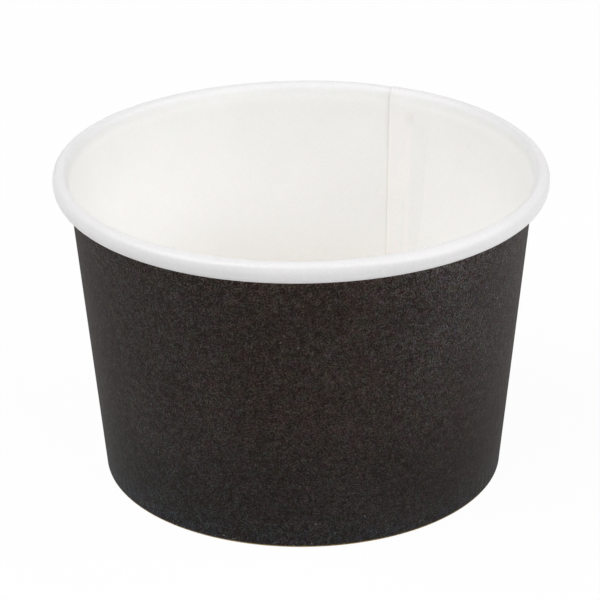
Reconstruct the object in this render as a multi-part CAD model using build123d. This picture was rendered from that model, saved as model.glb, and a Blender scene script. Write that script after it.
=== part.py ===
from build123d import *
from math import acos, atan2, cos, degrees, hypot, pi, radians, sin, tan
import os

# Paper ice cream cup. The origin is the centre of the base ring on the table, and +Z is up.
# Two sheets of coated board: the side wall with its rolled rim, lapped seam and base hem,
# and the bottom disc, whose skirt is held between the wall and the hem.
# Sizes are in millimetres, angles in degrees. Bearings turn from +X towards +Y, seen from above.

# Overall sizes
rim_diameter = 96.0  # outside of the rolled rim
base_diameter = 79.0  # outside of the wall, carried down to the table
height = 62.5  # table to the top of the rim

# Sheets
wall_board = 0.4
disc_board = 0.32
seal_gap = 0.03  # between the skirt of the disc and the board on each side of it

# Rolled rim. Each core is the radius left inside the doubled board at the seam. A turn is how
# far the sheet has turned from straight up.
curl_top_core = 0.2  # outer shoulder of the roll
curl_inner_core = 0.6  # inner shoulder of the roll
side_radius = 3.0  # crowned outer side of the roll
side_first_turn = 145.0
side_last_turn = 200.0
curl_turn = 301.0  # at the tip
curl_tip_gap = 0.15  # tip to the doubled board at the seam
flare_radius = 9.0  # wall bending outward under the roll
flare_reach = 0.46  # how far the flare carries the sheet out of the wall's cone

# Base
recess_depth = 6.0  # table to the underside of the disc
hem_shy = 0.8  # edge of the hem below the underside of the disc
disc_bend = 0.3  # inner radius where the disc turns down into its skirt

# Side seam
seam_bearing = 65.4  # cut edge of the inner ply, seen inside the cup
lap_width = 8.0  # overlap of the two plies
ramp_width = 5.5  # where the outer ply climbs over the edge of the inner ply
ramp_spans = 3

# Sizes that follow
rim_radius = rim_diameter / 2
base_radius = base_diameter / 2
doubled = 2 * wall_board
shoulder_radius = curl_top_core + doubled
inner_radius = curl_inner_core + doubled
fold_gap = disc_board + 2 * seal_gap
hem_height = recess_depth - hem_shy


def toward_centre(turn):
    """Unit step from the sheet towards the centre of its bend, where the sheet has turned this far."""
    return Vector(cos(radians(turn)), -sin(radians(turn)))


# Top of the roll, in the section plane. The crowned side carries the rim's outer radius.
shoulder_step = toward_centre(side_first_turn) * (side_radius - shoulder_radius)
ridge_radius = rim_radius - side_radius - shoulder_step.X
shoulder_centre = Vector(ridge_radius, height - shoulder_radius)
inner_centre = Vector(ridge_radius, height - inner_radius)
side_centre = shoulder_centre + shoulder_step


def wall_slope():
    """Angle of the wall's cone: the line from the base that passes the flare's reach from the roll."""
    reach = inner_centre - Vector(base_radius, 0)
    clear = inner_radius + flare_reach - wall_board
    return degrees(acos(clear / hypot(reach.X, reach.Y)) - atan2(reach.Y, reach.X))


slope = wall_slope()
across = toward_centre(slope)


def wall_point(offset, z):
    """Point at height z on the cone that lies this offset outside the wall's white face."""
    return Vector(base_radius - (wall_board - offset) / across.X + z * tan(radians(slope)), z)


def hem_point(offset, z):
    """Point at height z on the cone that lies this offset inside the hem's white face."""
    return wall_point(-fold_gap - offset, z)


# Bottom of the roll and the flare, in the section plane. The bottom bend is as large as fits
# between the foot of the crowned side and the doubled wall at the seam.
side_foot = side_centre - toward_centre(side_last_turn) * side_radius
lap_room = (side_foot - wall_point(doubled, side_foot.Y)).dot(across) - curl_tip_gap
bottom_reach = (toward_centre(curl_turn) - toward_centre(side_last_turn)).dot(across)
bottom_radius = lap_room / bottom_reach
bottom_centre = side_foot + toward_centre(side_last_turn) * bottom_radius
flare_turn = slope + degrees(acos(1 - flare_reach / (flare_radius - inner_radius)))
flare_centre = inner_centre + toward_centre(flare_turn) * (flare_radius - inner_radius)


def bend(centre, radius, first_turn, last_turn):
    """Arc of a bend between two turns of the sheet."""
    turns = (first_turn, (first_turn + last_turn) / 2, last_turn)
    return ThreePointArc(*[centre - toward_centre(turn) * radius for turn in turns])


def chain(points):
    """Straight edges through the points."""
    return [Line(a, b) for a, b in zip(points, points[1:])]


def rim_edges(offset):
    """Edges of the flare and the roll on the face at this offset from the white face."""
    flare = bend(flare_centre, flare_radius - offset, slope, flare_turn)
    inner = bend(inner_centre, inner_radius - offset, flare_turn, 90)
    shoulder = bend(shoulder_centre, shoulder_radius - offset, 90, side_first_turn)
    side = bend(side_centre, side_radius - offset, side_first_turn, side_last_turn)
    bottom = bend(bottom_centre, bottom_radius - offset, side_last_turn, curl_turn)
    return [flare, inner, shoulder, side, bottom]


def white_edges(offset):
    """White face from the edge of the hem, round the fold and up to the tip of the roll."""
    rim = rim_edges(offset)
    corners = [
        hem_point(0, hem_height) - across * offset,
        hem_point(offset, wall_board),
        wall_point(offset, wall_board),
        rim[0] @ 0,
    ]
    return chain(corners) + rim


def print_edges(offset):
    """Printed face along the same way. The fold is crimped flat on the table."""
    rim = rim_edges(offset)
    wall_corner = wall_point(offset - wall_board, wall_board)
    hem_corner = hem_point(offset - wall_board, wall_board)
    hem_bend = bend(hem_corner, -wall_board, slope + 180, 90)
    wall_bend = bend(wall_corner, -wall_board, 90, slope)
    hem = Line(hem_point(0, hem_height) - across * offset, hem_bend @ 0)
    flat = Line(hem_bend @ 1, wall_bend @ 0)
    wall = Line(wall_bend @ 1, rim[0] @ 0)
    return [hem, hem_bend, flat, wall_bend, wall] + rim


def sheet_section(near, far):
    """Section of the board between two offsets from the nominal white face."""
    white = white_edges(near)
    printed = print_edges(far)
    tip = Line(white[-1] @ 1, printed[-1] @ 1)
    hem_edge = Line(printed[0] @ 0, white[0] @ 0)
    return Plane.XZ * make_face(white + [tip] + printed[::-1] + [hem_edge])


def bearing_of(width):
    """Angle that this width covers on the wall at half height."""
    return degrees(width / wall_point(0, height / 2).X)


def sector(near, far, first, last):
    """Board swept round the cup between two bearings."""
    return Rot(0, 0, first) * revolve(sheet_section(near, far), Axis.Z, last - first)


def seam_ramp(first, last):
    """Outer ply climbing from the nominal wall over the edge of the inner ply."""
    sections = []
    for step in range(ramp_spans + 1):
        share = step / ramp_spans
        lift = wall_board * (1 + cos(pi * share)) / 2
        bearing = first + (last - first) * share
        sections.append(Rot(0, 0, bearing) * sheet_section(lift, lift + wall_board))
    return loft(sections, ruled=True)


def make_side_wall():
    """Wrapped wall blank: cone, lapped side seam, rolled rim and base hem in one sheet."""
    lap_start = seam_bearing - bearing_of(lap_width)
    ramp_end = seam_bearing + bearing_of(ramp_width)
    single = sector(0, wall_board, ramp_end, lap_start + 360)
    lap = sector(0, doubled, lap_start, seam_bearing)
    return single + lap + seam_ramp(seam_bearing, ramp_end)


def make_bottom_disc():
    """Bottom blank: flat disc with its edge turned down into a skirt that follows the wall."""
    top = recess_depth + disc_board
    outer_bend = disc_bend + disc_board
    bend_centre = wall_point(-seal_gap - outer_bend, top - outer_bend)
    over = bend(bend_centre, outer_bend, 90, slope + 180)
    under = bend(bend_centre, disc_bend, 90, slope + 180)
    foot = wall_point(-seal_gap, wall_board + seal_gap)
    skirt = chain([over @ 1, foot, foot - across * disc_board, under @ 1])
    centre = chain([under @ 0, Vector(0, recess_depth), Vector(0, top), over @ 0])
    return revolve(Plane.XZ * make_face([over] + skirt + [under] + centre), Axis.Z)


os.makedirs("parts", exist_ok=True)
export_step(make_side_wall(), "parts/side_wall.step")
export_step(make_bottom_disc(), "parts/bottom_disc.step")
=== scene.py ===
from math import acos, atan2, cos, degrees, hypot, pi, radians, sin, tan
from types import SimpleNamespace

import bpy
import numpy as np
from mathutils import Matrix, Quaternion, Vector


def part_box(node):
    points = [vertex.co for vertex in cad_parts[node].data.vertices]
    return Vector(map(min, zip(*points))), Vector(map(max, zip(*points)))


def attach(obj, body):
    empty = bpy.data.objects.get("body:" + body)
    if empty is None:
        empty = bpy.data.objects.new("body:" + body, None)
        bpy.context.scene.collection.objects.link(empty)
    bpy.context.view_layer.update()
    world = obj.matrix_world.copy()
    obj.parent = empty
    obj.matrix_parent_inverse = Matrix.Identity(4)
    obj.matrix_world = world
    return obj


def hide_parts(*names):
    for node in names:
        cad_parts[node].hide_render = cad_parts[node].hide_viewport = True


# Paper ice cream cup: the looks of its side wall and its bottom disc.
# Lengths are in metres, angles in degrees. Bearings turn from +X towards +Y, seen from above.

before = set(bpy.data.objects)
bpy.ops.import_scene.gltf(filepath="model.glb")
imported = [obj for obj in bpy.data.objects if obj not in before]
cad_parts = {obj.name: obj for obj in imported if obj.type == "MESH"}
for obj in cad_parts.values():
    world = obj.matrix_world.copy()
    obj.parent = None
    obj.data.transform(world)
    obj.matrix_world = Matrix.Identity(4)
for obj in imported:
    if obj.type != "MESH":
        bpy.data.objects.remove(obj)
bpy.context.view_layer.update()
mm = 0.001

# Sizes read from the frame
_, wall_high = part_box("side_wall")
_, disc_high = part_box("bottom_disc")
height = wall_high.z
rim_radius = wall_high.x

# Sheets and base
base_radius = 39.5 * mm
wall_board = 0.4 * mm
disc_board = 0.32 * mm
seal_gap = 0.03 * mm
recess_depth = disc_high.z - disc_board
hem_shy = 0.8 * mm
disc_bend = 0.3 * mm
disc_foot = 0.8 * mm  # table to the edge of the disc's skirt, clear of the doubled fold at the seam
crease = 0.05 * mm  # radius left on the white face inside a fold

# Rolled rim. A turn is how far the sheet has turned from straight up.
curl_top_core = 0.2 * mm
curl_inner_core = 0.6 * mm
side_radius = 3.0 * mm  # crowned outer side of the roll
side_first_turn = 145.0
side_last_turn = 200.0
curl_turn = 301.0
curl_tip_gap = 0.15 * mm
flare_radius = 9.0 * mm
flare_reach = 0.46 * mm

# Side seam
seam_bearing = 65.4
lap_width = 8.0 * mm
ramp_width = 5.5 * mm
ply_gap = 0.012 * mm
lap_press = 0.4  # share of its thickness that each ply loses where the two are sealed
roll_press = 0.7  # the same on the roll
press_start = 4.0 * mm  # before the ridge, where the stronger press of the roll sets in
press_full = 0.8 * mm  # before the ridge, where it is full

# Sizes that follow
doubled = 2 * wall_board
shoulder_radius = curl_top_core + doubled
inner_radius = curl_inner_core + doubled
fold_gap = disc_board + 2 * seal_gap
hem_height = recess_depth - hem_shy


# The sheet in section, as (radius, height) pairs

def normal_at(turn):
    """Unit step from the white face to the printed face, where the sheet has turned this far from up."""
    return np.array([cos(radians(turn)), -sin(radians(turn))])


shoulder_step = normal_at(side_first_turn) * (side_radius - shoulder_radius)
ridge_radius = rim_radius - side_radius - shoulder_step[0]
shoulder_centre = np.array([ridge_radius, height - shoulder_radius])
inner_centre = np.array([ridge_radius, height - inner_radius])
side_centre = shoulder_centre + shoulder_step


def wall_slope():
    """Angle of the wall's cone."""
    reach_r, reach_z = inner_centre - (base_radius, 0)
    clear = inner_radius + flare_reach - wall_board
    return degrees(acos(clear / hypot(reach_r, reach_z)) - atan2(reach_z, reach_r))


slope = wall_slope()
across = normal_at(slope)


def wall_point(offset, z):
    """Point at height z on the cone that lies this offset outside the wall's white face."""
    return np.array([base_radius - (wall_board - offset) / across[0] + z * tan(radians(slope)), z])


def hem_point(offset, z):
    """Point at height z on the cone that lies this offset inside the hem's white face."""
    return wall_point(-fold_gap - offset, z)


mid_radius = wall_point(0, height / 2)[0]
lap_angle = degrees(lap_width / mid_radius)
ramp_angle = degrees(ramp_width / mid_radius)
sheet_angle = 360 + lap_angle

side_foot = side_centre - normal_at(side_last_turn) * side_radius
lap_room = (wall_point(doubled, side_foot[1]) - side_foot) @ across + curl_tip_gap
bottom_radius = lap_room / ((normal_at(side_last_turn) - normal_at(curl_turn)) @ across)
bottom_centre = side_foot + normal_at(side_last_turn) * bottom_radius
flare_turn = slope + degrees(acos(1 - flare_reach / (flare_radius - inner_radius)))
flare_centre = inner_centre + normal_at(flare_turn) * (flare_radius - inner_radius)

# Steps of the mesh along each stretch of the sheet
hem_steps = 5
fold_steps = 4
low_wall_steps = 6
wall_steps = 5
flare_steps = 4
inner_steps = 6
shoulder_steps = 7
side_steps = 11
bottom_steps = 9
low_wall_end = 6 * mm
wall_end = 52 * mm


def arc(centre, radius, first_turn, last_turn, steps):
    """Points and normals of a bend. The radius is positive where the centre is on the white side."""
    turns = np.linspace(first_turn, last_turn, steps + 1)
    return [(centre + normal_at(turn) * radius, normal_at(turn)) for turn in turns]


def white_line():
    """White face from the edge of the hem, round the fold, up the wall and round the roll.

    Gives the points, their normals, which of them belong to the fold, the distance along the
    line, measured so that on the wall it is the distance up the slope from the table, and the
    distance past the ridge of the roll."""
    fold_z = wall_board + crease
    hem_heights = np.linspace(hem_height, fold_z, hem_steps + 1)[:-1]
    low_heights = np.linspace(fold_z, low_wall_end, low_wall_steps + 1)[1:-1]
    wall_heights = np.concatenate([low_heights, np.linspace(low_wall_end, wall_end, wall_steps + 1)])
    hem = [(hem_point(0, z), -across) for z in hem_heights]
    fold = arc(hem_point(-crease, fold_z), crease, slope + 180, 90, fold_steps)
    fold += arc(wall_point(-crease, fold_z), crease, 90, slope, fold_steps)
    wall = [(wall_point(0, z), across) for z in wall_heights]
    flare = arc(flare_centre, -flare_radius, slope, flare_turn, flare_steps)
    inner = arc(inner_centre, -inner_radius, flare_turn, 90, inner_steps)[1:]
    shoulder = arc(shoulder_centre, -shoulder_radius, 90, side_first_turn, shoulder_steps)[1:]
    side = arc(side_centre, -side_radius, side_first_turn, side_last_turn, side_steps)[1:]
    bottom = arc(bottom_centre, -bottom_radius, side_last_turn, curl_turn, bottom_steps)[1:]
    line = hem + fold + wall + flare + inner + shoulder + side + bottom
    points = np.array([point for point, normal in line])
    normals = np.array([normal for point, normal in line])
    first_wall = len(hem) + len(fold)
    in_fold = np.zeros(len(line))
    in_fold[len(hem):first_wall] = 1
    along = np.concatenate([[0], np.cumsum(np.hypot(*np.diff(points, axis=0).T))])
    along += points[first_wall, 1] / across[0] - along[first_wall]
    past_ridge = along - along[np.argmax(points[:, 1])]
    return SimpleNamespace(
        points=points, normals=normals, in_fold=in_fold, along=along, past_ridge=past_ridge
    )


# Where the sheet departs from a plain revolve

def eased(value, low, high):
    """Smooth step from 0 at low to 1 at high."""
    share = np.clip((value - low) / (high - low), 0, 1)
    return share * share * (3 - 2 * share)


def pressed_board(past_ridge):
    """Thickness of each ply of the seam. The curling tool presses the roll thinner than the wall."""
    on_roll = eased(past_ridge, -press_start, -press_full)
    return wall_board * (1 - lap_press - (roll_press - lap_press) * on_roll)


def board_at(travel, past_ridge):
    """Thickness of the board, by angle travelled from the inner cut edge."""
    inner_ply = 1 - eased(travel, lap_angle, lap_angle + ramp_angle)
    outer_ply = eased(travel, 360 - ramp_angle, 360)
    return wall_board + (pressed_board(past_ridge) - wall_board) * (inner_ply + outer_ply)


def lift_at(travel, past_ridge):
    """How far the outer ply lies outside the inner one, by angle travelled from the inner cut edge."""
    return (pressed_board(past_ridge) + ply_gap) * eased(travel, 360 - ramp_angle, 360)


def fold_rise_at(travel):
    """How far the seam's inner ply stands above the table at the fold, by angle travelled."""
    past = (travel + 180) % 360 - 180
    on_lap = eased(past, -ramp_angle, 0) * (1 - eased(past, lap_angle, lap_angle + ramp_angle))
    return (wall_board * (1 - lap_press) + ply_gap) * on_lap


seam_lean = 0.033 / mm  # degrees that the seam turns, for each metre of height
lean_height = 48 * mm  # where the seam has its nominal bearing


def lean_at(z):
    """Turn of the whole sheet at this height: the blank is wrapped a little askew."""
    return seam_lean * (z - lean_height)


# Waves of the rim round its circle: count, depth, bearing of a crest
rim_waves = (
    (2, 0.08 * mm, 0.0),
    (3, 0.06 * mm, 47.0),
    (4, 0.16 * mm, -32.0),
)
saddle_depth = 0.065 * mm  # rise of the rim's sides over its front and back


def out_of_round(bearing, z):
    """Radial departure from a true round, growing from nothing at the crimped base."""
    swings = [depth * np.cos(np.radians(bearing - crest) * count) for count, depth, crest in rim_waves]
    return sum(swings) * z / height


def saddle(bearing, z):
    """Rise of the rim's two sides."""
    return saddle_depth * np.cos(np.radians(bearing) * 2) * z / height


# Crimping marks, with the heights between which they come up and fade out
knurl_count = 120
knurl_depth = 0.05 * mm
knurl_foot = (0.7 * mm, 1.6 * mm)
knurl_head = (4.2 * mm, 5.0 * mm)


def knurl_at(bearing, z):
    """Depth of the crimping marks over the hem."""
    on_band = eased(z, *knurl_foot) * (1 - eased(z, *knurl_head))
    return knurl_depth * on_band * (0.5 + 0.5 * np.cos(np.radians(bearing) * knurl_count)) ** 3


# Flattened shoulder of the roll
flat_depth = 0.26 * mm  # how far the ridge is pressed down where the roll is flattened most
corner_depth = 0.20 * mm  # how far the corner below the flattened shoulder stands out there
corner_place = 1.45 * mm  # ridge to that corner, along the sheet
corner_end = 3.3 * mm  # where the side is back on its nominal curve
low_corners = ((-120, 14, 0.25 * mm), (-56, 15, 0.80 * mm))  # bearing, width, how much lower it lies
flat_rise = (-1.0 * mm, 0.2 * mm)  # past the ridge, where the pressing down comes in
corner_start = 0.3 * mm  # past the ridge, where the sheet starts to come out to the corner
round_bearing = -89.0  # middle of the stretch at the front where the roll stays rounder
round_width = 13.0
round_share = 0.55  # how much of the flattening is missing there


def hump(bearing, middle, width):
    """Smooth hump of height 1 round a bearing."""
    away = (bearing - middle + 180) % 360 - 180
    return np.exp(-(away / width) ** 2)


def squared_at(bearing, past_ridge):
    """How far the roll stands out of its round section: at the front its shoulder is flattened."""
    front = 0.5 - 0.5 * np.sin(np.radians(bearing))
    amount = front * (1 - round_share * hump(bearing, round_bearing, round_width))
    lower = sum(depth * hump(bearing, middle, width) for middle, width, depth in low_corners)
    corner = corner_place + lower
    pressed = -flat_depth * eased(past_ridge, *flat_rise)
    slope_rise = (flat_depth + corner_depth) * eased(past_ridge, corner_start, corner)
    side_fall = corner_depth * np.clip((past_ridge - corner) / (corner_end - corner), 0, 1)
    return amount * (pressed + slope_rise - side_fall)


# Dents of the roll
dent_counts = (23, 37, 61, 94, 141, 187)
dent_phase = 2.4  # from one run of dents to the next
dent_depth = 0.012 * mm
dent_share = 0.5  # share of that depth in each run of dents
crest_share = 0.8  # share of it in the crest along the roll
crest_waves = ((17, 0.0), (44, 1.3))  # count and phase of the waves by which that crest shifts
dent_rise = (-0.6 * mm, 1.0 * mm)  # past the ridge, where the dents come up
dent_fade = (4.0 * mm, 5.5 * mm)  # past the ridge, where they fade out
crest_spacing = 3.2 * mm


def dents_at(bearing, past_ridge):
    """Small swells and dents of the roll, where the board buckled as it was curled."""
    on_roll = eased(past_ridge, *dent_rise) * (1 - eased(past_ridge, *dent_fade))
    turn = np.radians(bearing)
    runs = sum(np.sin(count * turn + dent_phase * number) for number, count in enumerate(dent_counts))
    shift = sum(0.5 * np.sin(count * turn + phase) for count, phase in crest_waves)
    crest = np.cos(2 * pi * (past_ridge / crest_spacing) + 2 * shift)
    return dent_depth * on_roll * (dent_share * runs + crest_share * crest * shift)


# Mesh of the side wall

PRINT, WHITE, EDGE = 0, 1, 2
SHEET_MAP = "sheet"  # UV map of the side wall, in metres: distance around, distance along
BAKE_MAP = "OFBake"  # UV map of the side wall, flattened into a unit square
columns_around = 640

# Bands of the bake map: first and last height of each stretch of the sheet
white_band = (0.0, 0.48)
print_band = (0.50, 0.98)
inner_cut_band = (0.983, 0.986)
outer_cut_band = (0.988, 0.991)
hem_edge_band = (0.993, 0.995)
tip_edge_band = (0.997, 0.999)


def face_places(line, travel, depth, knurled):
    """Grid of places on the face at this depth behind the white face, by angle travelled."""
    bearing = seam_bearing - travel + lean_at(line.points[:, 1])
    proud = squared_at(bearing, line.past_ridge) + dents_at(bearing, line.past_ridge)
    rise = line.in_fold * fold_rise_at(travel)
    out = lift_at(travel, line.past_ridge) + depth - proud
    r = line.points[:, 0] + line.normals[:, 0] * out + rise * tan(radians(slope))
    z = line.points[:, 1] + line.normals[:, 1] * out + rise
    pressed = knurled * knurl_at(bearing, z) * np.sign(line.normals[:, 0]) * (1 - line.in_fold)
    r = r - pressed + out_of_round(bearing, z)
    z = z + saddle(bearing, z)
    return np.stack([r * np.cos(np.radians(bearing)), r * np.sin(np.radians(bearing)), z], axis=2)


def bake_layout(line, around, index):
    """Place on the bake map of every vertex, for each face and each edge of the sheet."""
    steps = np.hypot(*np.diff(line.points, axis=0).T)
    outer_steps = np.hypot(*np.diff(line.points + line.normals * wall_board, axis=0).T)
    unrolled = np.concatenate([[0], np.cumsum(np.maximum(steps, outer_steps))])
    share_around = (around / around[-1])[None, :, None]
    share_along = (unrolled / unrolled[-1])[None, None, :]
    side_of_sheet = np.arange(2)[:, None, None]

    def stretch(share_across, heights, share_up):
        """Places of one stretch, between the two heights of its band."""
        v = heights[0] + (heights[1] - heights[0]) * share_up
        whole = np.broadcast_arrays(share_across, v, index)[:2]
        return np.stack(whole, axis=3).reshape(-1, 2)

    return SimpleNamespace(
        white=stretch(share_around, white_band, share_along),
        printed=stretch(share_around, print_band, share_along),
        inner_cut=stretch(share_along, inner_cut_band, side_of_sheet),
        outer_cut=stretch(share_along, outer_cut_band, side_of_sheet),
        hem_edge=stretch(share_around, hem_edge_band, side_of_sheet),
        tip_edge=stretch(share_around, tip_edge_band, side_of_sheet),
    )


def make_side_wall():
    """The wrapped blank as one closed sheet, from the inner cut edge once round to the outer one."""
    line = white_line()
    travel = np.append(np.arange(0, sheet_angle, 360 / columns_around), sheet_angle)[:, None]
    white = face_places(line, travel, 0, 0)
    printed = face_places(line, travel, board_at(travel, line.past_ridge), 1)
    columns, rows = white.shape[:2]
    index = np.arange(2 * columns * rows).reshape(2, columns, rows)
    around = np.radians(travel[:, 0]) * mid_radius
    bake = bake_layout(line, around, index)

    faces = []
    looks = []
    bakes = []

    def strip(a, b, c, d, look, places):
        """Quads from four arrays of corners, all with one material."""
        quads = np.stack([a, b, c, d], axis=-1).reshape(-1, 4)
        faces.append(quads)
        looks.append(np.full(len(quads), look))
        bakes.append(places[quads])

    inside, outside = index
    strip(inside[:-1, :-1], inside[:-1, 1:], inside[1:, 1:], inside[1:, :-1], WHITE, bake.white)
    strip(outside[:-1, :-1], outside[1:, :-1], outside[1:, 1:], outside[:-1, 1:], PRINT, bake.printed)
    strip(inside[0, :-1], outside[0, :-1], outside[0, 1:], inside[0, 1:], EDGE, bake.inner_cut)
    strip(inside[-1, :-1], inside[-1, 1:], outside[-1, 1:], outside[-1, :-1], EDGE, bake.outer_cut)
    strip(inside[:-1, 0], inside[1:, 0], outside[1:, 0], outside[:-1, 0], EDGE, bake.hem_edge)
    strip(inside[:-1, -1], outside[:-1, -1], outside[1:, -1], inside[1:, -1], EDGE, bake.tip_edge)
    corners = np.concatenate(faces)
    vertices = np.concatenate([white.reshape(-1, 3), printed.reshape(-1, 3)])

    piece = new_piece("side_wall_sheet", vertices, corners.tolist())
    piece.data.polygons.foreach_set("material_index", np.concatenate(looks))
    face_map = np.stack(np.broadcast_arrays(around[:, None], line.along[None, :]), axis=2).reshape(-1, 2)
    sheet_map = np.concatenate([face_map, face_map])
    piece.data.uv_layers.new(name=SHEET_MAP).data.foreach_set("uv", sheet_map[corners].ravel())
    piece.data.uv_layers.new(name=BAKE_MAP).data.foreach_set("uv", np.concatenate(bakes).ravel())
    return piece


# Mesh of the bottom disc

disc_columns = 360
disc_dish = 0.22 * mm  # how far the middle of the disc sags
pucker_counts = (67, 109, 158)
pucker_phase = 1.7  # from one run of puckers to the next
pucker_depth = 0.016 * mm  # of each run of puckers
pucker_width = 2.6 * mm
pucker_rim = 0.6 * mm  # edge of the disc to where the puckers are full
disc_flat_steps = 8  # on the inner part and again on the outer part of each flat side
disc_flat_split = 34 * mm  # radius between the two parts
disc_bend_steps = 7
disc_skirt_steps = 4


def disc_line():
    """Section of the disc from the middle of its top, round its skirt, to the middle below."""
    top = recess_depth + disc_board
    outer_bend = disc_bend + disc_board
    bend_centre = wall_point(-seal_gap - outer_bend, top - outer_bend)
    over = [point for point, normal in arc(bend_centre, -outer_bend, 90, slope + 180, disc_bend_steps)]
    under = [point for point, normal in arc(bend_centre, -disc_bend, 90, slope + 180, disc_bend_steps)]
    inner_radii = np.linspace(0, disc_flat_split, disc_flat_steps + 1)[:-1]
    outer_radii = np.linspace(disc_flat_split, bend_centre[0], disc_flat_steps + 1)[:-1]
    flat_radii = np.concatenate([inner_radii, outer_radii])
    skirt_heights = np.linspace(over[-1][1], disc_foot, disc_skirt_steps + 1)[1:]
    outside = [wall_point(-seal_gap, z) for z in skirt_heights]
    inside = [point - across * disc_board for point in outside[::-1]]
    top_flat = [np.array([r, top]) for r in flat_radii]
    low_flat = [np.array([r, recess_depth]) for r in flat_radii[::-1]]
    return np.array(top_flat + over + outside + inside + under[::-1] + low_flat)


def make_bottom_disc():
    """Floor of the cup: a shallow tray with a skirt, sagging a little and puckered at its corner."""
    line = disc_line()
    edge = line[:, 0].max()
    bearing = np.arange(disc_columns)[:, None] * 360 / disc_columns
    turn = np.radians(bearing)
    r, z = line[:, 0], line[:, 1]
    near_edge = eased(r, edge - pucker_width, edge - pucker_rim) * (z > recess_depth - disc_board)
    runs = sum(np.sin(count * turn + pucker_phase * number) for number, count in enumerate(pucker_counts))
    puckers = pucker_depth * near_edge * (1 + runs)
    dish = disc_dish * (1 - np.minimum(r / edge, 1) ** 2)
    height_now = z - dish - puckers + saddle(bearing, z) * r / edge
    radius_now = r + out_of_round(bearing, z) * r / edge
    rings = np.stack([radius_now * np.cos(turn), radius_now * np.sin(turn), height_now], axis=2)

    ring_vertices = rings[:, 1:-1]
    columns, rows = ring_vertices.shape[:2]
    index = np.arange(columns * rows).reshape(columns, rows)
    after = np.roll(index, -1, axis=0)
    corners = [index[:, :-1], index[:, 1:], after[:, 1:], after[:, :-1]]
    quads = np.stack(corners, axis=-1).reshape(-1, 4)
    top_middle, low_middle = columns * rows, columns * rows + 1
    fan = [(top_middle, int(a), int(b)) for a, b in zip(index[:, 0], after[:, 0])]
    low_fan = [(low_middle, int(b), int(a)) for a, b in zip(index[:, -1], after[:, -1])]
    middles = [(0, 0, rings[0, 0, 2]), (0, 0, rings[0, -1, 2])]
    vertices = np.concatenate([ring_vertices.reshape(-1, 3), middles])
    return new_piece("bottom_disc_sheet", vertices, quads.tolist() + fan + low_fan)


sharp_angle = 40.0  # least angle between two faces whose edge stays sharp


def new_piece(name, vertices, faces):
    """Smooth mesh object whose creases stay sharp."""
    mesh = bpy.data.meshes.new(name)
    mesh.from_pydata(vertices.tolist(), [], faces)
    mesh.validate()
    mesh.set_sharp_from_angle(angle=radians(sharp_angle))
    piece = bpy.data.objects.new(name, mesh)
    bpy.context.scene.collection.objects.link(piece)
    return piece


# Shader helpers

noise_low = 0.3  # most values of a noise lie between these two
noise_high = 0.7
mark_fade = 0.35  # share of its radius over which a mark fades, inward and outward
dust_fade = 0.3  # the same for a speck of dust


def add_node(tree, kind, inputs=(), **settings):
    """New node with its settings. Inputs are (socket name or number, value or socket) pairs."""
    node = tree.nodes.new(kind)
    for key, value in settings.items():
        setattr(node, key, value)
    for name, value in inputs:
        if isinstance(value, bpy.types.NodeSocket):
            tree.links.new(value, node.inputs[name])
        else:
            node.inputs[name].default_value = value
    return node


def arithmetic(tree, operation, first, second):
    """Output of a maths node."""
    return add_node(tree, "ShaderNodeMath", [(0, first), (1, second)], operation=operation).outputs[0]


def product(tree, first, second):
    """First value times the second."""
    return arithmetic(tree, "MULTIPLY", first, second)


def total(tree, first, second):
    """First value plus the second."""
    return arithmetic(tree, "ADD", first, second)


def weighted(tree, first, *rest):
    """Sum of values, given as (value, weight) pairs."""
    amount = product(tree, *first)
    for value, weight in rest:
        amount = total(tree, amount, product(tree, value, weight))
    return amount


def axes_of(tree, vector):
    """Outputs X, Y and Z of a vector."""
    return add_node(tree, "ShaderNodeSeparateXYZ", [("Vector", vector)]).outputs


def speckle(tree, place, size, detail=2.0, roughness=0.5):
    """Noise whose grains are about this size, from 0 to 1."""
    inputs = [("Vector", place), ("Scale", 1 / size), ("Detail", detail), ("Roughness", roughness)]
    return add_node(tree, "ShaderNodeTexNoise", inputs).outputs["Fac"]


def rescaled(tree, value, low, high, to_low=0.0, to_high=1.0):
    """Value carried from one range to another, held at the ends."""
    inputs = [("Value", value), ("From Min", low), ("From Max", high), ("To Min", to_low)]
    inputs.append(("To Max", to_high))
    return add_node(tree, "ShaderNodeMapRange", inputs).outputs["Result"]


def spread(tree, noise, to_low=0.0, to_high=1.0):
    """Noise carried from its usual range to another."""
    return rescaled(tree, noise, noise_low, noise_high, to_low, to_high)


def wander(tree, place, size, reach):
    """Shift that wanders up to this reach either way, in patches of this size."""
    return spread(tree, speckle(tree, place, size), -reach, reach)


def blended(tree, share, first, second):
    """Mix of two colours."""
    node = add_node(tree, "ShaderNodeMix", data_type="RGBA")
    for socket, value in zip((node.inputs[0], node.inputs[6], node.inputs[7]), (share, first, second)):
        if isinstance(value, bpy.types.NodeSocket):
            tree.links.new(value, socket)
        elif isinstance(value, tuple):
            socket.default_value = (*value, 1.0)
        else:
            socket.default_value = value
    return node.outputs[2]


def tinted(tree, share, colour, factor):
    """Colour multiplied by a factor for each channel, where share is 1."""
    node = add_node(tree, "ShaderNodeMix", data_type="RGBA", blend_type="MULTIPLY", clamp_result=False)
    tree.links.new(share, node.inputs[0])
    tree.links.new(colour, node.inputs[6])
    node.inputs[7].default_value = (*factor, 1.0)
    return node.outputs[2]


def band(tree, value, first, last, soft):
    """Mask that is 1 between two values and fades over the soft width at each end."""
    rise = rescaled(tree, value, first - soft, first + soft)
    fall = rescaled(tree, value, last + soft, last - soft)
    return product(tree, rise, fall)


def sheet_vector(tree):
    """Place on the sheet's map as a vector."""
    return add_node(tree, "ShaderNodeUVMap", uv_map=SHEET_MAP).outputs["UV"]


def object_place(tree):
    """Place on the object."""
    return add_node(tree, "ShaderNodeTexCoord").outputs["Object"]


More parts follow.
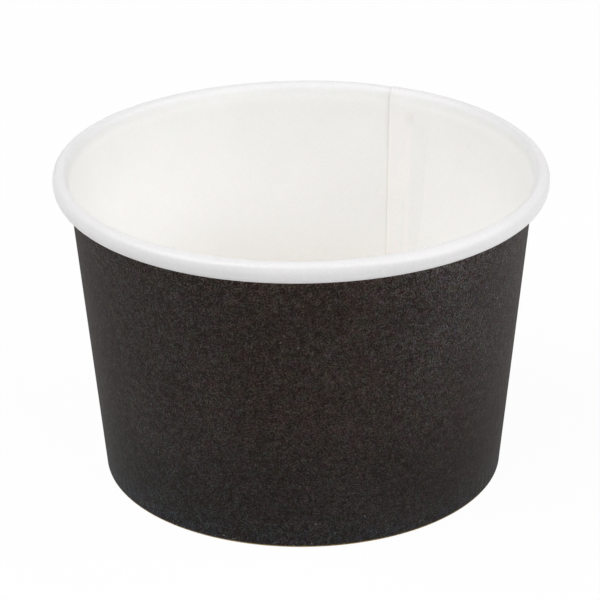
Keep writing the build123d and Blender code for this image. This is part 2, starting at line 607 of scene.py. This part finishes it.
def sheet_spot(bearing, z):
    """Place on the sheet's map of a point of the wall."""
    travel = (seam_bearing + lean_at(z) - bearing) % 360
    return radians(travel) * mid_radius, z / across[0]


def oval_mark(tree, vector, bearing, z, half_width, half_height, turn):
    """Mask of a small oval mark on the sheet. Its turn is measured from level."""
    x, y = sheet_spot(bearing, z)
    inputs = [("Vector", vector), ("Location", (x, y, 0)), ("Rotation", (0, 0, radians(turn)))]
    inputs.append(("Scale", (half_width, half_height, 1)))
    local = add_node(tree, "ShaderNodeMapping", inputs, vector_type="TEXTURE").outputs["Vector"]
    measure = add_node(tree, "ShaderNodeVectorMath", [("Vector", local)], operation="LENGTH")
    return rescaled(tree, measure.outputs["Value"], 1 + mark_fade, 1 - mark_fade)


def new_material(name):
    """Empty material with a principled shader. Gives the material, its tree and the shader."""
    material = bpy.data.materials.new(name)
    material.use_nodes = True
    tree = material.node_tree
    return material, tree, tree.nodes["Principled BSDF"]


def finish_surface(tree, shader, colour, roughness, height, depth):
    """Links colour, roughness and a bump whose full height is the given depth."""
    bump = add_node(tree, "ShaderNodeBump", [("Height", height), ("Distance", depth)])
    tree.links.new(colour, shader.inputs["Base Color"])
    tree.links.new(roughness, shader.inputs["Roughness"])
    tree.links.new(bump.outputs["Normal"], shader.inputs["Normal"])


# Black print

print_dark = (0.0060, 0.0022, 0.0008)
print_light = (0.0740, 0.0595, 0.0525)
print_range = (0.452, 0.677)  # noise where the print is darkest and where it is lightest
grain_size = 0.29 * mm
grain_detail = 3.0
grain_roughness = 0.65
grain_weight = 0.79
mottle_size = 1.1 * mm
mottle_weight = 0.15
cloud_size = 14 * mm
cloud_weight = 0.06
hue_size = 1.6 * mm
hue_strength = 1.2
hue_detail = 4.0
hue_roughness = 0.85
sheen_range = (0.35, 0.65)  # grain between which the roughness of the print changes
print_roughness = (0.54, 0.82)
print_bump = 0.085 * mm
print_specular = 0.11

# How the colour changes with height: where the change starts, where it is full, and its factors
print_tints = (
    # the first two rows: painted light under the rim, where the roll shades the wall
    (50 * mm, 56 * mm, (1.30, 1.30, 1.30)),
    (56 * mm, 58 * mm, (1.95, 1.90, 1.80)),
    # painted shade low on the wall
    (26 * mm, 10 * mm, (0.74, 0.83, 0.90)),
    # paler and bluer towards the foot
    (8 * mm, 0.0, (1.12, 1.30, 1.50)),
)
right_sheen_tint = (1.40, 1.62, 1.86)  # painted sheen: paler print high on the right side
right_places = (10 * mm, 26 * mm)  # across the cup, from the start to where the tint is full
right_heights = (15 * mm, 42 * mm)
left_sheen_tint = (1.12, 1.26, 1.34)  # painted sheen: paler print on the left side
left_places = (-8 * mm, -26 * mm)

# Dust
dust_spacing = 2.4 * mm
dust_radius = 0.11 * mm
dust_share = 0.22  # share of the places that hold a speck
dust_cover = 0.5
dust_colour = (0.20, 0.18, 0.17)

# Bare board where the print is cracked along the base fold
crack_low = 0.28 * mm
crack_high = 0.44 * mm
crack_wander = 0.16 * mm
bare_dark = (0.26, 0.17, 0.05)
bare_light = (0.46, 0.32, 0.13)

# Pale fibres and specks caught in the print: bearing, height, half length, half width, turn
print_fibres = (
    (-32.73, 44.55 * mm, 0.22 * mm, 0.13 * mm, 0.0),
    (-31.18, 42.80 * mm, 0.20 * mm, 0.10 * mm, 30.0),
    (-95.24, 45.09 * mm, 0.14 * mm, 0.12 * mm, 0.0),
    (-91.02, 44.03 * mm, 0.15 * mm, 0.13 * mm, 0.0),
    (-86.75, 5.32 * mm, 0.16 * mm, 0.13 * mm, 0.0),
    (-73.18, 6.13 * mm, 0.30 * mm, 0.07 * mm, 60.0),
    (-55.84, 1.89 * mm, 0.30 * mm, 0.06 * mm, -40.0),
    (-112.69, 1.20 * mm, 0.42 * mm, 0.07 * mm, 4.0),
    (-109.78, 0.85 * mm, 0.50 * mm, 0.06 * mm, -16.0),
    (-98.10, 0.95 * mm, 0.36 * mm, 0.07 * mm, -20.0),
    (-97.20, 1.20 * mm, 0.30 * mm, 0.05 * mm, 35.0),
    (-87.90, 1.00 * mm, 0.13 * mm, 0.10 * mm, 0.0),
)
fibre_white = (0.15, 0.15, 0.14)


def dust(tree, place, spacing, radius, share):
    """Mask of sparse round specks: about this share of the cells holds one."""
    cells = add_node(tree, "ShaderNodeTexVoronoi", [("Vector", place), ("Scale", 1 / spacing)]).outputs
    size = radius / spacing
    near = rescaled(tree, cells["Distance"], size * (1 + dust_fade), size * (1 - dust_fade))
    pick = add_node(tree, "ShaderNodeSeparateColor", [("Color", cells["Color"])]).outputs["Red"]
    return product(tree, near, arithmetic(tree, "LESS_THAN", pick, share))


def hue_varied(tree, place, colour, size, strength):
    """Colour whose channels each wander a little on their own, in patches of this size and finer."""
    inputs = [("Vector", place), ("Scale", 1 / size)]
    inputs += [("Detail", hue_detail), ("Roughness", hue_roughness)]
    noise = add_node(tree, "ShaderNodeTexNoise", inputs).outputs["Color"]
    rest = 1 - strength / 2
    inputs = [(0, noise), (1, (strength, strength, strength)), (2, (rest, rest, rest))]
    factor = add_node(tree, "ShaderNodeVectorMath", inputs, operation="MULTIPLY_ADD").outputs["Vector"]
    inputs = [(0, colour), (1, factor)]
    return add_node(tree, "ShaderNodeVectorMath", inputs, operation="MULTIPLY").outputs["Vector"]


def print_colour(tree, place, grain, mottle):
    """Warm black, mottled by the fibres of the board, with painted light, sheen and shade over the wall.
    """
    cloud = speckle(tree, place, cloud_size)
    tone = weighted(tree, (grain, grain_weight), (mottle, mottle_weight), (cloud, cloud_weight))
    colour = blended(tree, rescaled(tree, tone, *print_range), print_dark, print_light)
    colour = hue_varied(tree, place, colour, hue_size, hue_strength)
    axes = axes_of(tree, place)
    # painted light under the rim and painted shade low on the wall, by height
    for first, full, factor in print_tints:
        colour = tinted(tree, rescaled(tree, axes["Z"], first, full), colour, factor)
    # painted sheen high on the right side
    high = rescaled(tree, axes["Z"], *right_heights)
    right_sheen_share = product(tree, rescaled(tree, axes["X"], *right_places), high)
    colour = tinted(tree, right_sheen_share, colour, right_sheen_tint)
    # painted sheen on the left side
    return tinted(tree, rescaled(tree, axes["X"], *left_places), colour, left_sheen_tint)


def print_material():
    """Matte black ink on board, dusty, with fibres in it, and cracked along the base fold."""
    material, tree, shader = new_material("black_print")
    place = object_place(tree)
    vector = sheet_vector(tree)
    grain = speckle(tree, place, grain_size, grain_detail, grain_roughness)
    mottle = speckle(tree, place, mottle_size)
    colour = print_colour(tree, place, grain, mottle)
    specks = dust(tree, place, dust_spacing, dust_radius, dust_share)
    colour = blended(tree, product(tree, specks, dust_cover), colour, dust_colour)
    for bearing, z, half_length, half_width, turn in print_fibres:
        mask = oval_mark(tree, vector, bearing, z, half_length, half_width, turn)
        colour = blended(tree, mask, colour, fibre_white)
    up = axes_of(tree, place)["Z"]
    ragged = total(tree, up, spread(tree, grain, -crack_wander, crack_wander))
    cracked = rescaled(tree, ragged, crack_high, crack_low)
    colour = blended(tree, cracked, colour, blended(tree, mottle, bare_dark, bare_light))
    roughness = rescaled(tree, grain, *sheen_range, *print_roughness)
    finish_surface(tree, shader, colour, roughness, grain, print_bump)
    shader.inputs["Specular IOR Level"].default_value = print_specular
    return material


# White board

inside_dark = (0.880, 0.877, 0.860)
inside_light = (0.922, 0.919, 0.905)
# the roll's white, painted darker than the inside's as shade
roll_shaded_dark = (0.709, 0.700, 0.703)
roll_shaded_light = (0.764, 0.755, 0.760)
# the disc's white, painted darker and warmer than the inside's as shade at the bottom of the cup
disc_shaded_dark = (0.862, 0.842, 0.812)
disc_shaded_light = (0.902, 0.886, 0.860)
board_cloud = 9 * mm
board_grain = 0.42 * mm
board_tint = 1.5 * mm
tint_detail = 3.0
tint_roughness = 0.6
wall_weights = (0.7, 0.3)  # of the grain and of the cloud in the shade of the board
disc_weights = (0.6, 0.4)
board_bump = 0.006 * mm
board_roughness = (0.42, 0.50)

# Where the creamy white of the inside gives way to the greyer white of the roll, painted darker as shade,
# along the sheet
cream_end = 61.3 * mm
grey_start = 61.9 * mm
dim_start = 59.9 * mm  # painted shade: the cream dims from here to the inner bend of the roll
dim_end = 61.4 * mm
bright_start = 62.9 * mm  # painted highlight: the grey brightens from here down to the inner bend
bright_end = 62.1 * mm
deep_start = 33 * mm  # below this the inside turns pinker and darker: painted shade deep in the cup
deep_end = 23 * mm
inner_bend_shade_tint = (0.90, 0.90, 0.90)
inner_bend_highlight_tint = (1.10, 1.11, 1.11)
deep_shade_tint = (0.985, 0.955, 0.943)
deep_noise = (0.35, 0.6)
deep_patches = (0.5, 1.0)  # strength of that painted shade at those two values of the cloud
border_size = 2.2 * mm  # of the patches in which the border between the two whites wanders
border_reach = 0.4 * mm

# Faint patches of colour: noise where a patch starts, where it is full, and its factors
board_patches = (
    (0.52, 0.66, (1.006, 0.994, 0.996)),
    (0.48, 0.34, (0.990, 1.000, 0.992)),
)

# Marks on the white face: bearing, height, half width, half height, turn, and each channel's factor
white_marks = (
    (59.85, 57.0 * mm, 1.05 * mm, 1.35 * mm, 0.0, (0.978, 0.966, 0.958)),  # pressed spot by the seam
    (59.35, 57.1 * mm, 0.26 * mm, 0.75 * mm, -20.0, (0.972, 0.962, 0.955)),  # its darker rim
    (10.49, 61.8 * mm, 0.80 * mm, 0.45 * mm, 10.0, (0.965, 0.962, 0.955)),  # smudge under the rim
    (39.71, 54.6 * mm, 0.25 * mm, 0.25 * mm, 0.0, (0.955, 0.945, 0.925)),  # speck
    (92.95, 36.8 * mm, 0.30 * mm, 0.20 * mm, 25.0, (0.970, 0.945, 0.905)),  # tan fleck
)

# The seam seen inside, by distance around the sheet from its inner cut edge
lip_width = 0.45 * mm
warm_strip = 4.95 * mm  # last place of the warm strip
grey_strip = lap_width  # last place of the grey strip, where the edge of the outer ply shows through
inner_line = 3.35 * mm  # fine dark line in the warm strip, low on the wall
beside_width = 0.6 * mm  # pale stretch beside that line
line_width = 0.22 * mm
groove_width = 0.35 * mm  # painted shade of the groove on the outer ply, beside the cut edge
ragged_size = 0.9 * mm  # fine wandering of every edge
ragged_reach = 0.12 * mm
loose_size = 4 * mm  # broad wandering of the far edge
loose_reach = 0.35 * mm
stain_size = 1.6 * mm
stain_noise = (0.38, 0.58)
stain_patches = (0.45, 1.0)  # strength of the stain at those two values of its noise
stain_heights = (60 * mm, 53 * mm)  # along the sheet, from faint to full
stain_faint = 0.2
low_heights = (43 * mm, 39 * mm)  # where the fine dark line comes in
strip_soft = 0.15 * mm  # widths over which the edges fade
join_soft = 0.2 * mm
fine_soft = 0.1 * mm
line_soft = 0.18 * mm

# How the far edge drifts along the sheet: where a drift starts, where it is full, how far it goes
edge_drifts = (
    (44 * mm, 30 * mm, 1.0 * mm),
    (50 * mm, 58 * mm, -0.8 * mm),
)

# Factors of the strips and lines
warm_tint = (1.025, 1.000, 1.002)
grey_tint = (0.982, 0.984, 0.984)
# painted highlight along the lip of the inner ply's cut edge
lip_highlight_tint = (1.020, 1.020, 1.010)
edge_line_tint = (0.962, 0.962, 0.955)
dark_line_tint = (0.965, 0.950, 0.925)
beside_tint = (0.990, 1.008, 1.010)
# painted shade in the groove beside the cut edge
groove_shade_tint = (0.935, 0.925, 0.900)


def strip_masks(tree, place, around, along):
    """Masks of the warm strip, the grey strip and the line that ends it, and two measures around.

    Both are the distance around the sheet: one wanders finely, and the other broadly as well."""
    ragged = wander(tree, place, ragged_size, ragged_reach)
    loose = total(tree, total(tree, around, wander(tree, place, loose_size, loose_reach)), ragged)
    straight = total(tree, around, ragged)
    patchy = rescaled(tree, speckle(tree, place, stain_size), *stain_noise, *stain_patches)
    stained = rescaled(tree, along, *stain_heights, stain_faint, 1.0)
    drifts = [rescaled(tree, along, first, full, 0.0, reach) for first, full, reach in edge_drifts]
    drifting = total(tree, loose, total(tree, *drifts))
    warm = product(tree, band(tree, straight, 0, warm_strip, strip_soft), stained)
    warm = product(tree, warm, patchy)
    past_warm = rescaled(tree, straight, warm_strip - join_soft, warm_strip + join_soft)
    up_to_edge = rescaled(tree, drifting, grey_strip + join_soft, grey_strip - join_soft)
    grey = product(tree, product(tree, past_warm, up_to_edge), stained)
    edge_line = band(tree, drifting, grey_strip, grey_strip + line_width, strip_soft)
    edge_line = product(tree, edge_line, stained)
    return SimpleNamespace(loose=loose, straight=straight, warm=warm, grey=grey, edge_line=edge_line)


def seam_colours(tree, vector, place, colour):
    """Strips and lines that the seam leaves on the white face, with a painted highlight on the lip of the
    inner ply's cut edge and painted shade in the groove beside it.
    """
    axes = axes_of(tree, vector)
    around, along = axes["X"], axes["Y"]
    masks = strip_masks(tree, place, around, along)
    colour = tinted(tree, masks.warm, colour, warm_tint)
    colour = tinted(tree, masks.grey, colour, grey_tint)
    on_wall = rescaled(tree, along, grey_start, cream_end)
    # painted highlight on the lip of the cut edge
    lip = product(tree, band(tree, masks.straight, 0, lip_width, fine_soft), on_wall)
    colour = tinted(tree, lip, colour, lip_highlight_tint)
    colour = tinted(tree, masks.edge_line, colour, edge_line_tint)
    low = rescaled(tree, along, *low_heights)
    dark_line = band(tree, masks.straight, inner_line, inner_line + line_width, line_soft)
    colour = tinted(tree, product(tree, dark_line, low), colour, dark_line_tint)
    beside = band(tree, masks.loose, inner_line - beside_width, inner_line, strip_soft)
    colour = tinted(tree, product(tree, beside, low), colour, beside_tint)
    # painted shade in the groove beside the cut edge
    edge_place = 2 * pi * mid_radius
    groove = band(tree, around, edge_place - groove_width, edge_place, fine_soft)
    return tinted(tree, groove, colour, groove_shade_tint)


def white_material():
    """White board with a thin smooth coating, creamier inside the cup than on the roll, with painted
    shade on the roll, by its inner bend and deep in the cup, and a painted highlight near that bend.
    """
    material, tree, shader = new_material("white_coating")
    place = object_place(tree)
    vector = sheet_vector(tree)
    along = axes_of(tree, vector)["Y"]
    cloud = speckle(tree, place, board_cloud)
    grain = speckle(tree, place, board_grain)
    tint = speckle(tree, place, board_tint, tint_detail, tint_roughness)
    shade = spread(tree, weighted(tree, *zip((grain, cloud), wall_weights)))
    inside = blended(tree, shade, inside_dark, inside_light)
    # the roll's white, painted darker than the inside's as shade
    roll = blended(tree, shade, roll_shaded_dark, roll_shaded_light)
    # painted shade on the cream under the roll's inner bend
    inside = tinted(tree, rescaled(tree, along, dim_start, dim_end), inside, inner_bend_shade_tint)
    # painted highlight on the grey near the roll's inner bend
    roll = tinted(tree, rescaled(tree, along, bright_start, bright_end), roll, inner_bend_highlight_tint)
    border = total(tree, along, wander(tree, place, border_size, border_reach))
    colour = blended(tree, rescaled(tree, border, cream_end, grey_start), inside, roll)
    for first, full, factor in board_patches:
        colour = tinted(tree, rescaled(tree, tint, first, full), colour, factor)
    # painted shade deep in the cup, in patches
    patchy = rescaled(tree, cloud, *deep_noise, *deep_patches)
    deep = product(tree, rescaled(tree, along, deep_start, deep_end), patchy)
    colour = tinted(tree, deep, colour, deep_shade_tint)
    colour = seam_colours(tree, vector, place, colour)
    for bearing, z, half_width, half_height, turn, factor in white_marks:
        mask = oval_mark(tree, vector, bearing, z, half_width, half_height, turn)
        colour = tinted(tree, mask, colour, factor)
    finish_surface(tree, shader, colour, spread(tree, cloud, *board_roughness), grain, board_bump)
    return material


def disc_material():
    """White board of the bottom disc, painted darker and warmer as shade at the bottom of the cup."""
    material, tree, shader = new_material("white_disc")
    place = object_place(tree)
    cloud = speckle(tree, place, board_cloud)
    grain = speckle(tree, place, board_grain)
    shade = spread(tree, weighted(tree, *zip((grain, cloud), disc_weights)))
    colour = blended(tree, shade, disc_shaded_dark, disc_shaded_light)
    finish_surface(tree, shader, colour, spread(tree, cloud, *board_roughness), grain, board_bump)
    return material


# Cut edges

fibre_size = 0.12 * mm
fibre_detail = 3.0
fibre_roughness = 0.7
fibre_range = (0.2, 0.8)  # noise between which the roughness of the edge changes
fibre_bump = 0.05 * mm
edge_dark = (0.50, 0.46, 0.39)
edge_light = (0.82, 0.79, 0.73)
edge_roughness = (0.8, 0.95)


def edge_material():
    """Cut edge of the board: bare fibres."""
    material, tree, shader = new_material("board_edge")
    fibres = speckle(tree, object_place(tree), fibre_size, fibre_detail, fibre_roughness)
    colour = blended(tree, fibres, edge_dark, edge_light)
    roughness = rescaled(tree, fibres, *fibre_range, *edge_roughness)
    finish_surface(tree, shader, colour, roughness, fibres, fibre_bump)
    return material


# Studio: a pale floor, soft lamps, and a camera as in the photograph

camera_distance = 563.2 * mm
camera_elevation = 25.016
camera_roll = -0.4487
camera_lens = 170.65
camera_sensor = 36.0
sight_target = Vector((0, 0, 30.0 * mm))
sight_aim = Vector((-0.418 * mm, 1.383 * mm, 32.963 * mm))

lamp_distance = 1.3
lamp_size = 0.9

# Softboxes: name, azimuth from the camera to the right, elevation, level
softboxes = (
    ("left_front_high", -45, 55, 0.457),
    ("left_high", -90, 55, 0.275),
    ("left", -90, 35, 0.148),
    ("right_front", 45, 35, 0.435),
    ("right", 90, 35, 0.338),
)
surroundings_level = 0.10

floor_half = 2.0
floor_drop = 0.02 * mm  # floor below the cup's foot
floor_grey = 0.88
floor_glow = 0.96  # share of plain white in the floor as it is seen; the rest shows the shadow


def add_camera():
    """Camera that looks a little past the cup's middle, as the photograph is framed."""
    back = Vector((0, -cos(radians(camera_elevation)), sin(radians(camera_elevation))))
    data = bpy.data.cameras.new("camera")
    data.lens = camera_lens
    data.sensor_width = camera_sensor
    camera = bpy.data.objects.new("camera", data)
    camera.location = sight_target + back * camera_distance
    camera.rotation_mode = "QUATERNION"
    look = (sight_aim - camera.location).to_track_quat("-Z", "Y")
    camera.rotation_quaternion = look @ Quaternion((0, 0, 1), radians(camera_roll))
    bpy.context.scene.collection.objects.link(camera)
    bpy.context.scene.camera = camera


def add_softbox(name, azimuth, elevation, level):
    """Square lamp aimed at the cup. Its level is the light it throws on a face turned to it."""
    data = bpy.data.lights.new(name, "AREA")
    data.shape = "SQUARE"
    data.size = lamp_size
    data.energy = level * pi * pi * lamp_distance ** 2
    lamp = bpy.data.objects.new(name, data)
    a, e = radians(azimuth), radians(elevation)
    way = Vector((sin(a) * cos(e), -cos(a) * cos(e), sin(e)))
    lamp.location = sight_target + way * lamp_distance
    lamp.rotation_mode = "QUATERNION"
    lamp.rotation_quaternion = way.to_track_quat("Z", "Y")
    bpy.context.scene.collection.objects.link(lamp)


def seen_rays(tree):
    """Mask of the rays by which a surface is seen, straight, through glass or mirrored."""
    path = add_node(tree, "ShaderNodeLightPath").outputs
    seen = arithmetic(tree, "MAXIMUM", path["Is Camera Ray"], path["Is Transmission Ray"])
    return arithmetic(tree, "MAXIMUM", seen, path["Is Glossy Ray"])


def add_world():
    """Even white surroundings that light the cup a little and look white themselves."""
    world = bpy.data.worlds.new("surroundings")
    world.use_nodes = True
    tree = world.node_tree
    strength = rescaled(tree, seen_rays(tree), 0.0, 1.0, surroundings_level, 1.0)
    background = tree.nodes["Background"]
    tree.links.new(strength, background.inputs["Strength"])
    background.inputs["Color"].default_value = (1.0, 1.0, 1.0, 1.0)
    bpy.context.scene.world = world


def add_floor():
    """Pale floor that looks white and keeps the cup's soft shadow."""
    signs = ((-1, -1), (1, -1), (1, 1), (-1, 1))
    corners = np.array([(x * floor_half, y * floor_half, 0) for x, y in signs])
    floor = new_piece("floor", corners, [(0, 1, 2, 3)])
    floor.location.z = -floor_drop
    material, tree, shader = new_material("pale_floor")
    tree.nodes.remove(shader)
    grey = (floor_grey, floor_grey, floor_grey, 1.0)
    matte = add_node(tree, "ShaderNodeBsdfDiffuse", [("Color", grey)]).outputs[0]
    glow = add_node(tree, "ShaderNodeEmission", [("Color", (1.0, 1.0, 1.0, 1.0)), ("Strength", 1.0)])
    share = product(tree, seen_rays(tree), floor_glow)
    mixed = add_node(tree, "ShaderNodeMixShader", [(0, share), (1, matte), (2, glow.outputs[0])])
    tree.links.new(mixed.outputs[0], tree.nodes["Material Output"].inputs["Surface"])
    floor.data.materials.append(material)


def add_studio():
    """Everything round the cup."""
    add_camera()
    add_world()
    for name, azimuth, elevation, level in softboxes:
        add_softbox(name, azimuth, elevation, level)
    add_floor()


# Put together

wall = make_side_wall()
for material in (print_material(), white_material(), edge_material()):
    wall.data.materials.append(material)
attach(wall, "root")
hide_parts("side_wall")

disc = make_bottom_disc()
disc.data.materials.append(disc_material())
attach(disc, "root")
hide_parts("bottom_disc")

add_studio()
bpy.context.scene.view_settings.view_transform = "Standard"
